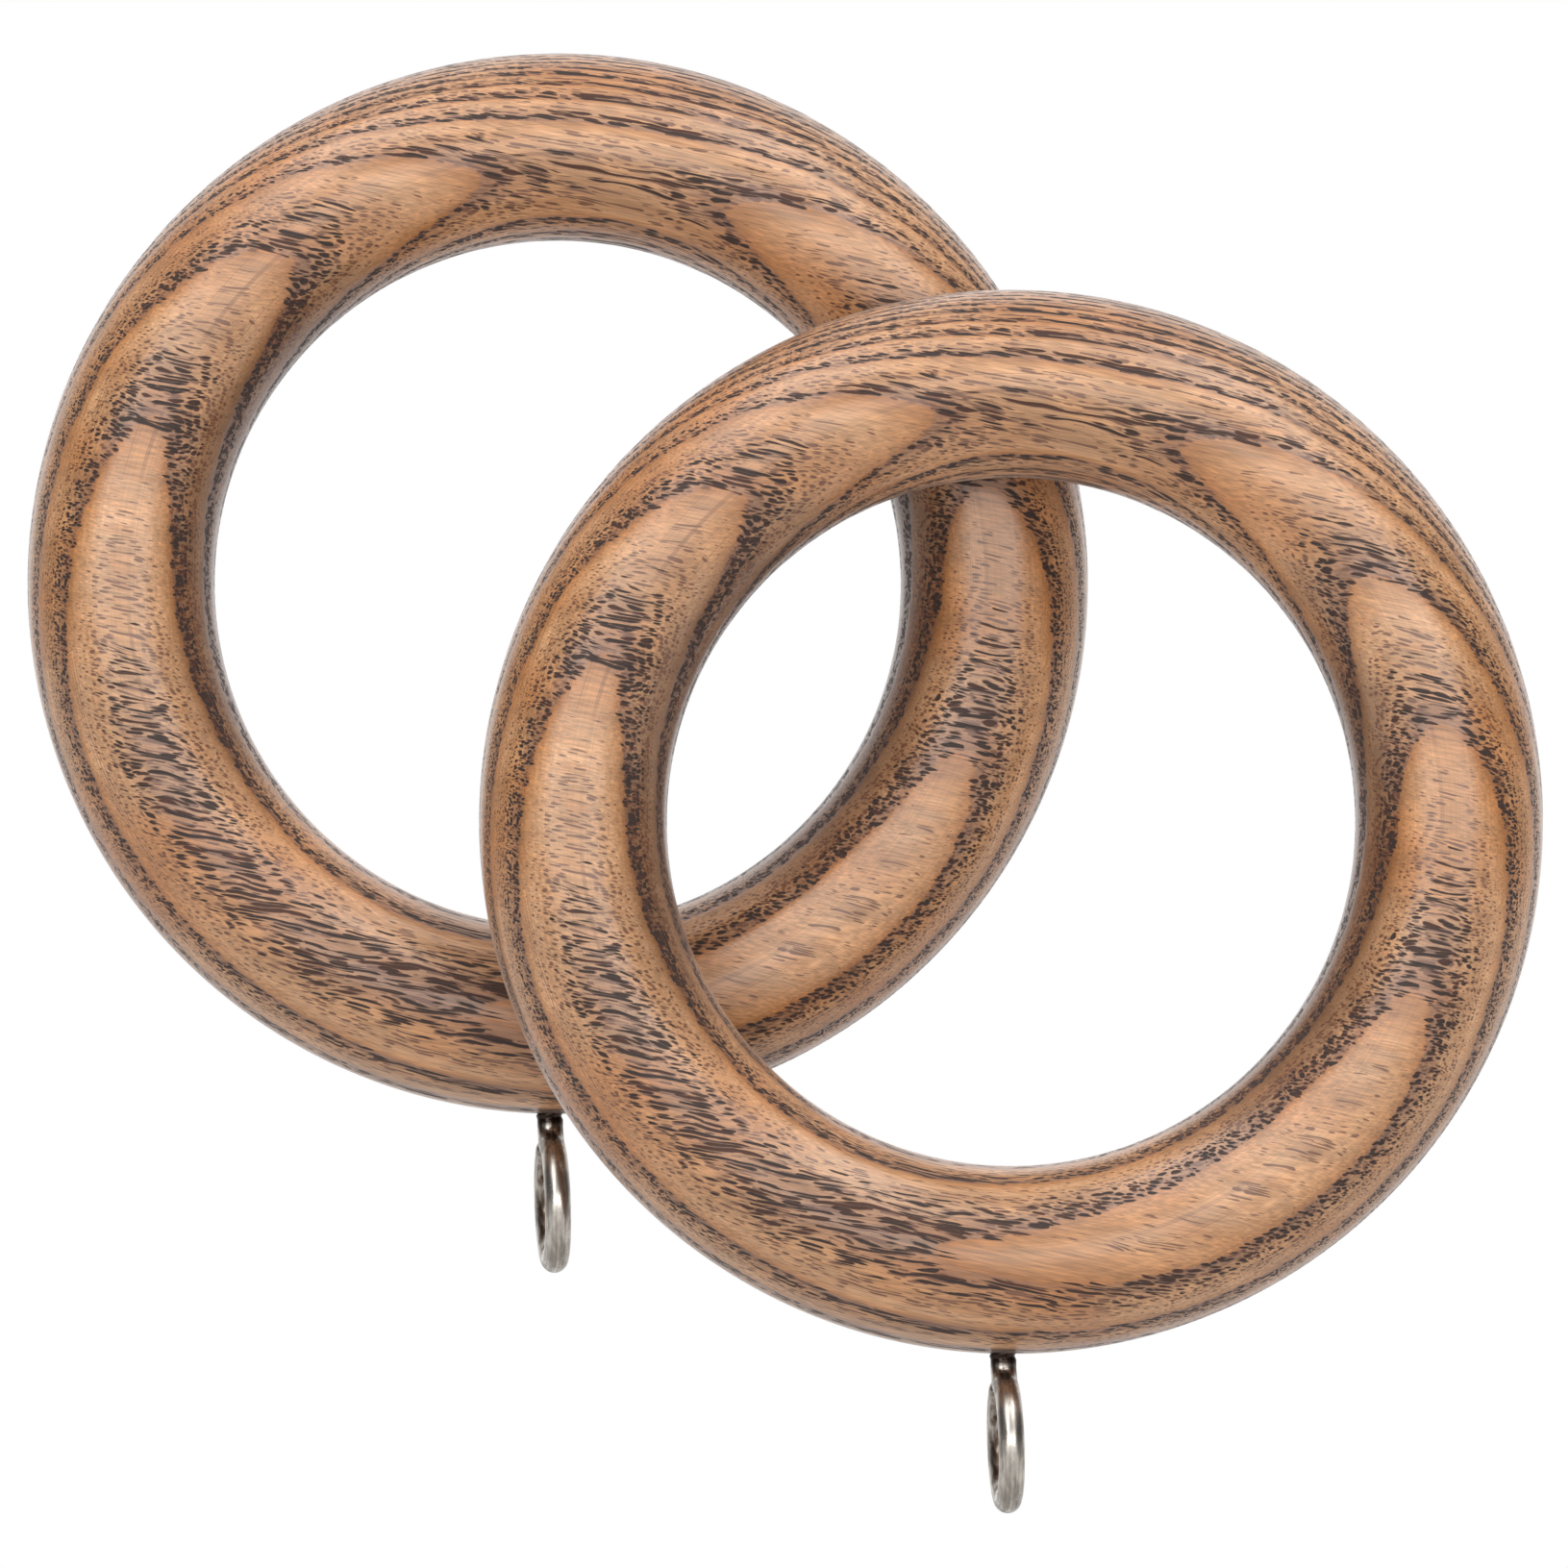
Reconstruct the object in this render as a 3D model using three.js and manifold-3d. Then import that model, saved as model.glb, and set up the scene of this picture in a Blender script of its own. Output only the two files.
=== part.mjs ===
// Two wooden curtain-pole rings, each with a steel screw eye for the curtain hook.
// Millimetres, +Z up. The pole runs along Y. The origin is the centre of the back ring's bore.

import * as THREE from "three";
import { mergeVertices } from "three/addons/utils/BufferGeometryUtils.js";
import Module from "manifold-3d";

// Turned wooden ring
const RING_DIAMETER = 90;
const SECTION_DIAMETER = 15.9;
const SECTION_SIDES = 20;
const RING_STEPS = 64;

// Screw eye, bent from one wire
const WIRE_DIAMETER = 2.2;
const EYE_DIAMETER = 12;
const EYE_PROJECTION = 13.5;
const EYE_OFFSET = -0.64;
const NECK_BEND_RADIUS = 1.8;
const EYE_END_ANGLE = THREE.MathUtils.degToRad(108);
const EYE_TURN = THREE.MathUtils.degToRad(-84.5);
const WIRE_SIDES = 10;
const WIRE_STEPS = 44;

// Rolled wood-screw thread on the shank
const THREAD_DIAMETER = 2.4;
const THREAD_ROOT_DIAMETER = 1.65;
const THREAD_PITCH = 1.1;
const THREAD_LENGTH = 8.8;
const THREAD_BELOW_WOOD = 0.5;
const POINT_LENGTH = 1.8;
const RIDGE_STEEPNESS = 3;
const WIRE_IN_THREAD = 0.3;
const THREAD_SIDES = 12;
const ROWS_PER_TURN = 5;

// Pilot hole in the wood
const CLEARANCE = 0.3;
const HOLE_DEPTH = 9.2;
const DRILL_OVERRUN = 2;
const HOLE_SIDES = 12;

// The front ring hangs nearer the window than the back one, lower and to the right
const FRONT_RING_PLACE = new THREE.Vector3(38.4, -16.5, -20.2);

const MERGE_TOLERANCE = 1e-4;
const RING_RADIUS = RING_DIAMETER / 2;
const CENTRELINE_RADIUS = RING_RADIUS - SECTION_DIAMETER / 2;
const EYE_RADIUS = (EYE_DIAMETER - WIRE_DIAMETER) / 2;
const EYE_CENTRE_Z = -RING_RADIUS - EYE_PROJECTION + EYE_DIAMETER / 2;

const wood = new THREE.MeshStandardMaterial({ color: 0xb48a66, roughness: 0.5, metalness: 0 });
const steel = new THREE.MeshStandardMaterial({ color: 0xa39a92, roughness: 0.3, metalness: 1 });

const manifold = await Module();
manifold.setup();

function toSolid(geometry) {
  const bare = geometry.clone();
  bare.deleteAttribute("normal");
  bare.deleteAttribute("uv");
  const merged = mergeVertices(bare, MERGE_TOLERANCE);
  return new manifold.Manifold(
    new manifold.Mesh({
      numProp: 3,
      vertProperties: merged.attributes.position.array,
      triVerts: new Uint32Array(merged.index.array),
    }),
  );
}

function toGeometry(solid) {
  const { vertProperties, triVerts } = solid.getMesh();
  const geometry = new THREE.BufferGeometry();
  geometry.setAttribute("position", new THREE.BufferAttribute(vertProperties, 3));
  geometry.setIndex(new THREE.BufferAttribute(triVerts, 1));
  geometry.computeVertexNormals();
  return geometry;
}

// A round ring with its axis along Y and a pilot hole drilled up into it, just beside its lowest point.
function ringGeometry() {
  const ring = new THREE.TorusGeometry(
    CENTRELINE_RADIUS,
    SECTION_DIAMETER / 2,
    SECTION_SIDES,
    RING_STEPS,
  ).rotateX(Math.PI / 2);
  const holeRadius = (THREAD_DIAMETER / 2 + CLEARANCE) / Math.cos(Math.PI / HOLE_SIDES);
  const hole = new THREE.CylinderGeometry(
    holeRadius,
    holeRadius,
    HOLE_DEPTH + DRILL_OVERRUN,
    HOLE_SIDES,
  )
    .rotateX(Math.PI / 2)
    .translate(EYE_OFFSET, 0, -RING_RADIUS + (HOLE_DEPTH - DRILL_OVERRUN) / 2);
  return toGeometry(toSolid(ring).subtract(toSolid(hole)));
}

// The wire's centre line in the XZ plane: the eye's free end, round the eye, the neck bend, the shank.
class EyeWire extends THREE.Curve {
  constructor(shankTop) {
    super();
    const neckRise = Math.sqrt(EYE_RADIUS ** 2 + 2 * EYE_RADIUS * NECK_BEND_RADIUS);
    this.neckZ = EYE_CENTRE_Z + neckRise;
    this.neckAngle = Math.atan2(neckRise, NECK_BEND_RADIUS);
    this.eyeSweep = 2 * Math.PI - (EYE_END_ANGLE - this.neckAngle);
    this.eyeLength = EYE_RADIUS * this.eyeSweep;
    this.neckLength = NECK_BEND_RADIUS * this.neckAngle;
    this.length = this.eyeLength + this.neckLength + (shankTop - this.neckZ);
  }

  getPoint(t, target = new THREE.Vector3()) {
    const along = t * this.length;
    if (along <= this.eyeLength) {
      const angle = EYE_END_ANGLE + along / EYE_RADIUS;
      return target.set(
        EYE_RADIUS * Math.cos(angle),
        0,
        EYE_CENTRE_Z + EYE_RADIUS * Math.sin(angle),
      );
    }
    if (along <= this.eyeLength + this.neckLength) {
      const turn = this.neckAngle - (along - this.eyeLength) / NECK_BEND_RADIUS;
      return target.set(
        NECK_BEND_RADIUS * (1 - Math.cos(turn)),
        0,
        this.neckZ - NECK_BEND_RADIUS * Math.sin(turn),
      );
    }
    return target.set(0, 0, this.neckZ + along - this.eyeLength - this.neckLength);
  }
}

function wireGeometry(shankTop) {
  const section = new THREE.Shape();
  section.absarc(0, 0, WIRE_DIAMETER / 2, 0, 2 * Math.PI);
  return new THREE.ExtrudeGeometry(section, {
    curveSegments: WIRE_SIDES,
    steps: WIRE_STEPS,
    extrudePath: new EyeWire(shankTop),
  });
}

// The thread's radius at a height above its lower end: a sharp ridge that climbs round the shank,
// run out to nothing along the gimlet point.
function threadRadius(height, angle) {
  const turns = height / THREAD_PITCH - angle / (2 * Math.PI);
  const ridge = Math.max(0, 1 - RIDGE_STEEPNESS * Math.abs(turns - Math.round(turns)));
  const root = THREAD_ROOT_DIAMETER / 2;
  const radius = root + ridge * (THREAD_DIAMETER / 2 - root);
  return radius * Math.min(1, (THREAD_LENGTH - height) / POINT_LENGTH);
}

// A closed skin of rings of points from the thread's lower end to its point.
function threadGeometry(bottomZ) {
  const rows = Math.round((THREAD_LENGTH / THREAD_PITCH) * ROWS_PER_TURN);
  const positions = [0, 0, bottomZ];
  for (let row = 0; row < rows; row++) {
    const height = (THREAD_LENGTH * row) / rows;
    for (let side = 0; side < THREAD_SIDES; side++) {
      const angle = (2 * Math.PI * side) / THREAD_SIDES;
      const radius = threadRadius(height, angle);
      positions.push(radius * Math.cos(angle), radius * Math.sin(angle), bottomZ + height);
    }
  }
  positions.push(0, 0, bottomZ + THREAD_LENGTH);

  const tip = 1 + rows * THREAD_SIDES;
  const faces = [];
  for (let side = 0; side < THREAD_SIDES; side++) {
    const next = (side + 1) % THREAD_SIDES;
    faces.push(0, 1 + next, 1 + side);
    for (let row = 0; row < rows - 1; row++) {
      const low = 1 + row * THREAD_SIDES;
      const high = low + THREAD_SIDES;
      faces.push(low + side, low + next, high + next, low + side, high + next, high + side);
    }
    const last = 1 + (rows - 1) * THREAD_SIDES;
    faces.push(last + side, last + next, tip);
  }
  const geometry = new THREE.BufferGeometry();
  geometry.setAttribute("position", new THREE.Float32BufferAttribute(positions, 3));
  geometry.setIndex(faces);
  return geometry;
}

// The plain wire runs on into the threaded part, so the two join as one solid.
function screwEyeGeometry() {
  const threadBottom = -RING_RADIUS - THREAD_BELOW_WOOD;
  const wire = toSolid(wireGeometry(threadBottom + WIRE_IN_THREAD));
  return toGeometry(wire.add(toSolid(threadGeometry(threadBottom))));
}

function named(name, geometry, material) {
  const mesh = new THREE.Mesh(geometry, material);
  mesh.name = name;
  return mesh;
}

function curtainRing(name) {
  const eye = named(name + "_screw_eye", screwEyeGeometry(), steel);
  eye.position.x = EYE_OFFSET;
  eye.rotation.z = EYE_TURN;
  const assembly = new THREE.Group();
  assembly.add(named(name + "_ring", ringGeometry(), wood), eye);
  return assembly;
}

const backRing = curtainRing("back");
const frontRing = curtainRing("front");
frontRing.position.copy(FRONT_RING_PLACE);

const curtainRings = new THREE.Group();
curtainRings.add(backRing, frontRing);

export default curtainRings;
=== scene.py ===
"""Two turned wooden curtain-pole rings, each with a steel screw eye: their finished look, built around
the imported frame. Lengths are metres unless a name says millimetres. +Z is up and the pole runs along Y."""

from math import atan2, cos, pi, radians, sin, sqrt

import bpy
from bpy.props import FloatProperty, FloatVectorProperty, IntProperty, PointerProperty
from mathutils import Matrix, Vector


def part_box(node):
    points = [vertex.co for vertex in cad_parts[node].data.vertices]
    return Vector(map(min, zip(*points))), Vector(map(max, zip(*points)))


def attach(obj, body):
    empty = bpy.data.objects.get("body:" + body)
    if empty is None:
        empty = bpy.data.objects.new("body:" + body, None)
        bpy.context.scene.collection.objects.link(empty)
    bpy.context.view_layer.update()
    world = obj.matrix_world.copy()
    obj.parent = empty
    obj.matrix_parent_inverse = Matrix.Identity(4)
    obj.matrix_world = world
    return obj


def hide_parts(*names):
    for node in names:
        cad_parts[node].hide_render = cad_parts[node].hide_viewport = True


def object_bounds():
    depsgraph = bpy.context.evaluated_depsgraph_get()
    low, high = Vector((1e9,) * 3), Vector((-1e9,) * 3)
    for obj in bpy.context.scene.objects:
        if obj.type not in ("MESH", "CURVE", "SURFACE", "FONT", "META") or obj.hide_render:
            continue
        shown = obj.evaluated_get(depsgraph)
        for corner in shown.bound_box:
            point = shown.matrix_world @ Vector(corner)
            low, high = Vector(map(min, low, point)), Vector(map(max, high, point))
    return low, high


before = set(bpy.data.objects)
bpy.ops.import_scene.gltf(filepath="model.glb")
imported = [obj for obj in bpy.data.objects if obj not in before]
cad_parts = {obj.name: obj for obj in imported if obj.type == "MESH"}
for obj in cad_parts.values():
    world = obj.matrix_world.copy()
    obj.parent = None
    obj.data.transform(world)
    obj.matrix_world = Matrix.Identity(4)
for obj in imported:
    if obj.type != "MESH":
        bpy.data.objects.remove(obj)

bl_info = {
    "name": "Curtain Rings",
    "version": (1, 0, 0),
    "blender": (4, 5, 0),
    "location": "3D View > Sidebar > Curtain Rings",
    "description": "Turned wooden curtain-pole rings with steel screw eyes",
    "category": "Object",
}

CAD_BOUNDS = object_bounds()
SIDES = ("back", "front")
MM = 0.001

RING_LOW, RING_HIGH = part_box("back_ring")
RING_DIAMETER = RING_HIGH.x - RING_LOW.x
SECTION_DIAMETER = RING_HIGH.y - RING_LOW.y
EYE_PROJECTION = RING_HIGH.z - RING_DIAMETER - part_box("back_screw_eye")[0].z


def linear(code):
    """An sRGB hex colour as linear red, green and blue."""
    parts = [(code >> shift & 255) / 255 for shift in (16, 8, 0)]
    return tuple(c / 12.92 if c <= 0.04045 else ((c + 0.055) / 1.055) ** 2.4 for c in parts)


def ring_centre(side):
    """The centre of a ring's bore. The pilot hole nicks the ring's lowest point, so the height is taken
    from its top."""
    low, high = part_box(side + "_ring")
    return Vector(((low.x + high.x) / 2, (low.y + high.y) / 2, high.z - RING_DIAMETER / 2))


# ---------------------------------------------------------------- settings


def length(name, description, default):
    return FloatProperty(
        name=name,
        description=description,
        default=default,
        unit="LENGTH",
        subtype="DISTANCE",
        precision=5,
    )


def colour(name, description, code):
    return FloatVectorProperty(
        name=name, description=description, default=linear(code), subtype="COLOR", min=0, max=1, size=3
    )


class RingSettings(bpy.types.PropertyGroup):
    """The turned wooden ring."""

    diameter: length("Outer diameter", "Across the outside of the ring", RING_DIAMETER)
    section: length("Section", "Thickness of the round section", SECTION_DIAMETER)
    relief: length("Grain relief", "How far sanding sinks the soft early wood", 0.05 * MM)
    hole_depth: length("Pilot hole depth", "Depth of the hole for the screw eye", 9.2 * MM)
    steps: IntProperty(name="Steps round", description="Faces round the ring", default=448, min=32)
    sides: IntProperty(name="Section sides", description="Faces round the section", default=128, min=12)


class EyeSettings(bpy.types.PropertyGroup):
    """The screw eye, bent from one wire."""

    wire: length("Wire", "Diameter of the wire", 2.2 * MM)
    eye: length("Eye", "Across the outside of the eye", 12 * MM)
    projection: length("Projection", "From the wood to the bottom of the eye", EYE_PROJECTION)
    neck_bend: length("Neck bend", "Radius of the bend from eye to shank", 1.8 * MM)
    thread: length("Thread", "Diameter over the thread's crests", 2.4 * MM)
    root: length("Thread root", "Diameter at the bottom of the thread", 1.65 * MM)
    pitch: length("Pitch", "Distance between two turns of the thread", 1.1 * MM)
    thread_length: length("Thread length", "From the first turn to the point", 8.8 * MM)
    thread_shows: length("Thread below wood", "Thread left showing under the wood", 0.5 * MM)
    point: length("Point", "Length of the gimlet point", 1.8 * MM)
    turn: FloatProperty(
        name="Turn",
        description="The eye's plane, turned from across the ring",
        default=radians(-84.5),
        unit="ROTATION",
    )
    offset: length("Offset", "How far the eye sits from the ring's lowest point", -0.64 * MM)
    lean: FloatProperty(
        name="Lean",
        description="How far the eye hangs out of its plane",
        default=radians(1.8),
        unit="ROTATION",
    )
    sides: IntProperty(name="Wire sides", description="Faces round the wire", default=28, min=8)
    end_angle: FloatProperty(
        name="End angle",
        description="Where the wire's cut end stops, round the eye",
        default=radians(108),
        unit="ROTATION",
    )


class WoodSettings(bpy.types.PropertyGroup):
    """Ash: where its growth layers lie in the ring, and its colours."""

    year_width: length("Year width", "Thickness of one year's growth", 2.835 * MM)
    heart_distance: length("Heart distance", "Radius of the growth layers", 204 * MM)
    arch_centre: length("Arch centre", "Where the layers lie flat to the ring's face", -24.8 * MM)
    years_at_centre: FloatProperty(
        name="Years at centre",
        description="Growth layers counted at the ring's centre",
        default=1.313,
        precision=3,
    )
    dive: FloatProperty(
        name="Dive",
        description="Years that the layers gain per millimetre along the grain",
        default=0.0072,
        precision=4,
    )
    slope: FloatProperty(
        name="Grain slope",
        description="How far the grain runs down to the right",
        default=radians(11.8),
        unit="ROTATION",
    )
    late: colour("Late wood", "Dense wood at the end of a year", 0xA36B3D)
    dense: colour("Dense wood", "Brown wood just before the end of a year", 0xBB8759)
    middle: colour("Middle wood", "The palest wood in a year", 0xC9996F)
    speckled: colour("Speckled wood", "Wood among the small pores", 0xB98A60)
    early: colour("Early wood", "Open wood at the start of a year", 0x8E664A)
    pore: colour("Pore wax", "Dark wax left in the pores", 0x2E1C14)
    brown_pore: colour("Brown pore", "Pores where the wax has worn thin", 0x472413)
    small_pore: colour("Small pore", "Wax left in the small pores", 0x5E3119)
    amber: colour("Amber", "Warm patches where the stain soaked in", 0xB27036)
    # Colour of the painted shadow round the screw eye's hole and of the painted shade on the bore side of
    # the left and right limbs.
    stain: colour("Stain", "Dark stain round the screw eye", 0x4A3020)


class SteelSettings(bpy.types.PropertyGroup):
    """Antiqued plated steel wire."""

    bright: colour("Bright metal", "Plating rubbed bright", 0xCDC6BD)
    # Also the colour of the painted reflection of the brown wood on the wire towards the neck.
    tarnish: colour("Tarnish", "Brown left by the antiquing", 0x6B5646)
    # Colour of the painted shade and reflection of the wood's dark underside, on the wire right under the
    # wood.
    neck: colour("Neck", "Near-black brown next to the wood, where nothing rubs", 0x3A302C)


class StageSettings(bpy.types.PropertyGroup):
    """The studio."""

    picture_width: length("Picture width", "Width that the camera takes in", 132.84 * MM)
    camera_distance: length("Camera distance", "From the camera to the rings", 5.0)
    camera_height: length("Camera height", "Against the height of the pole", -17 * MM)
    floor_drop: length("Floor drop", "From the lowest screw eye to the floor", 30 * MM)
    key_watts: FloatProperty(
        name="Key light", description="Power of the high front light", default=2, unit="POWER"
    )
    panel_level: FloatProperty(
        name="Panel level", description="Brightness of the tall side panels", default=3.0
    )
    lens_level: FloatProperty(
        name="Lens light", description="Brightness of the soft light round the lens", default=2.4
    )


class CurtainRingSettings(bpy.types.PropertyGroup):
    ring: PointerProperty(type=RingSettings)
    eye: PointerProperty(type=EyeSettings)
    wood: PointerProperty(type=WoodSettings)
    steel: PointerProperty(type=SteelSettings)
    stage: PointerProperty(type=StageSettings)


# ---------------------------------------------------------------- nodes and pieces

MATH = "ShaderNodeMath"
VECTOR = "ShaderNodeVectorMath"
PARTS = "ShaderNodeSeparateXYZ"
# Takes a value's way from one limit to another, as a way from 0 to 1 or between two more limits
RAMP = "ShaderNodeMapRange"
# The colour mix has its factor at 0, its colours at 6 and 7, and its result at 2
MIX = "ShaderNodeMix"
SHARP_EDGE = radians(50)


def add(tree, kind, inputs=(), stops=(), output=0, **settings):
    """Adds a node, gives it its settings and colour stops, fills or links its inputs, which are listed in
    order or keyed by name or place, and returns one of its outputs."""
    made = tree.nodes.new(kind)
    for name, value in settings.items():
        setattr(made, name, value)
    for index, (position, shade) in enumerate(stops):
        if index == len(made.color_ramp.elements):
            made.color_ramp.elements.new(position)
        made.color_ramp.elements[index].position = position
        made.color_ramp.elements[index].color = (*shade, 1)
    for key, value in inputs.items() if isinstance(inputs, dict) else enumerate(inputs):
        if isinstance(value, bpy.types.NodeSocket):
            tree.links.new(value, made.inputs[key])
        else:
            made.inputs[key].default_value = value
    return made.outputs[output] if made.outputs else None


def new_geometry_tree(name, inputs):
    """A Geometry Nodes tree with these named inputs, and its input node's sockets by name."""
    tree = bpy.data.node_groups.new(name, "GeometryNodeTree")
    tree.interface.new_socket("Geometry", in_out="INPUT", socket_type="NodeSocketGeometry")
    for socket, kind in inputs.items():
        tree.interface.new_socket(socket, in_out="INPUT", socket_type="NodeSocket" + kind)
    tree.interface.new_socket("Geometry", in_out="OUTPUT", socket_type="NodeSocketGeometry")
    return tree, add(tree, "NodeGroupInput").node.outputs


def end_tree(tree, geometry, material):
    """Smooths all but the sharp edges, and ends the tree in Realize Instances and Set Material."""
    smooth = add(tree, "GeometryNodeSetShadeSmooth", {"Geometry": geometry, "Shade Smooth": True})
    bend = add(tree, "GeometryNodeInputMeshEdgeAngle", output="Unsigned Angle")
    sharp = add(tree, MATH, [bend, SHARP_EDGE], operation="GREATER_THAN")
    creased = add(
        tree,
        "GeometryNodeSetShadeSmooth",
        {"Geometry": smooth, "Selection": sharp, "Shade Smooth": False},
        domain="EDGE",
    )
    real = add(tree, "GeometryNodeRealizeInstances", {"Geometry": creased})
    painted = add(tree, "GeometryNodeSetMaterial", {"Geometry": real, "Material": material})
    add(tree, "NodeGroupOutput", {0: painted})


def finished_piece(name, tree, mesh, values, node):
    """Runs the tree on the mesh and keeps the result as a plain mesh piece that stands for a CAD node."""
    source = bpy.data.objects.new(name + "_source", mesh)
    bpy.context.scene.collection.objects.link(source)
    modifier = source.modifiers.new(tree.name, "NODES")
    modifier.node_group = tree
    for item in tree.interface.items_tree:
        if item.in_out == "INPUT" and item.name in values:
            modifier[item.identifier] = values[item.name]
    evaluated = source.evaluated_get(bpy.context.evaluated_depsgraph_get())
    result = bpy.data.meshes.new_from_object(evaluated)
    if not result.polygons:
        raise RuntimeError(name + " came out empty")
    bpy.data.objects.remove(source)
    result.name = name
    piece = bpy.data.objects.new(name, result)
    bpy.context.scene.collection.objects.link(piece)
    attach(piece, node)
    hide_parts(node)
    return piece


def new_material(name):
    """An empty material and its tree."""
    material = bpy.data.materials.new(name)
    material.use_nodes = True
    material.node_tree.nodes.clear()
    return material, material.node_tree


# ---------------------------------------------------------------- wood

# Pores are long tubes along the grain. Spacing, dashes and half widths (thin, wide) are in millimetres.
# Starts and ends say where in the year, from 0 for its dense end to 1 for its open start, the chance of a
# pore goes from rare to common and its half width from thin to wide.
OPEN_PORES = dict(
    spacing=0.28, dash=2.2, thin=0.065, wide=0.122, rare=-0.15, common=1.6, starts=0.48, ends=0.86
)
SMALL_PORES = dict(
    spacing=0.25, dash=1.2, thin=0.05, wide=0.08, rare=0, common=1, starts=0.14, ends=0.45
)
LATE_PORES = dict(
    spacing=0.5, dash=0.7, thin=0.035, wide=0.05, rare=0.5, common=0, starts=0.3, ends=0.6
)
PORE_SOFTNESS = 0.02
PORE_SCATTER = 0.75
PORE_WANDER = 1.6
TUBE_NOISE = 0.2
# Near the bark the years narrow and their pores widen, by up to this share
BARK_PORES = 0.4
YEAR_SHRINK = (0.35, 0.4)
# The growth layers wander: how far each wave reaches along its layer in millimetres, how many years it
# swings, and where in the noise it is taken from.
LAYER_WAVES = ((28, 0.7, (212.5, 112.5, 162.5)), (3.2, 0.12, (7, 3, 5)))
WAVE_STRETCH = 0.35
# Pattern sizes in millimetres: along the grain, into the board and across it
WANDER_SIZE = (8, 2, 2)
PATCH_SIZE = (22, 9, 9)
STREAK_SIZE = (5, 0.6, 0.6)
FIBRE_SIZE = (3.5, 0.17, 0.17)
CLOUD_SIZE = (9, 2.5, 2.5)
SCRATCHED_SIZE = (18, 18, 18)
# Marks of turning and sanding run round the ring, so they only vary over its section
LATHE_SIZE = (0.16, 0.16, 1)
SCRATCH_SIZE = (1.3, 1.3, 1)
# The bore side sets in between these distances inside the section's centre line, in millimetres
BORE_FROM = 3.2
BORE_TO = 5.5
# Depths and heights in millimetres
SMALL_PORE_DEPTH = 0.02
OPEN_PORE_DEPTH = 0.1
FIBRE_HEIGHT = 0.03
LATHE_HEIGHT = 0.01


def noise_mm(tree, place, sizes, detail=2.0, seed=(0, 0, 0)):
    """Noise over a place in millimetres, with a blob's size given for each direction."""
    scaled = add(
        tree,
        VECTOR,
        {0: place, 1: tuple(1 / size for size in sizes), 2: seed},
        operation="MULTIPLY_ADD",
    )
    return add(tree, "ShaderNodeTexNoise", {"Vector": scaled, "Scale": 1, "Detail": detail})


def growth_years(tree, place, wood):
    """Years counted towards the heart, at a place in millimetres (along the grain, depth, across)."""
    width = wood.year_width / MM
    arch_radius = wood.heart_distance / MM
    across = add(tree, PARTS, {0: place}, output=2)
    from_arch = add(tree, MATH, [across, wood.arch_centre / MM], operation="SUBTRACT")
    square = add(tree, MATH, [from_arch, from_arch], operation="MULTIPLY")
    flat = add(
        tree,
        VECTOR,
        {0: place, 1: (wood.dive, -1 / width, 0)},
        operation="DOT_PRODUCT",
        output="Value",
    )
    curved = add(tree, MATH, [square, -1 / (2 * arch_radius * width), flat], operation="MULTIPLY_ADD")
    years = add(tree, MATH, [curved, wood.years_at_centre], operation="ADD")
    for reach, swing, seed in LAYER_WAVES:
        wave = noise_mm(tree, place, (reach / WAVE_STRETCH, reach, reach), 1, seed)
        sway = add(tree, MATH, [wave, 0.5], operation="SUBTRACT")
        years = add(tree, MATH, [sway, swing, years], operation="MULTIPLY_ADD")
    return years


def season_at(tree, years):
    """0 at the dense end of a year and 1 at its open start. Years narrow towards the bark, below year 1."""
    young = add(tree, MATH, [1, years], operation="SUBTRACT")
    young = add(tree, MATH, [young, 0], operation="MAXIMUM")
    extra = add(tree, MATH, [young, *YEAR_SHRINK], operation="MULTIPLY_ADD")
    extra = add(tree, MATH, [extra, young], operation="MULTIPLY")
    narrowed = add(tree, MATH, [years, extra], operation="SUBTRACT")
    return add(tree, MATH, [narrowed], operation="FRACT")


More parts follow.
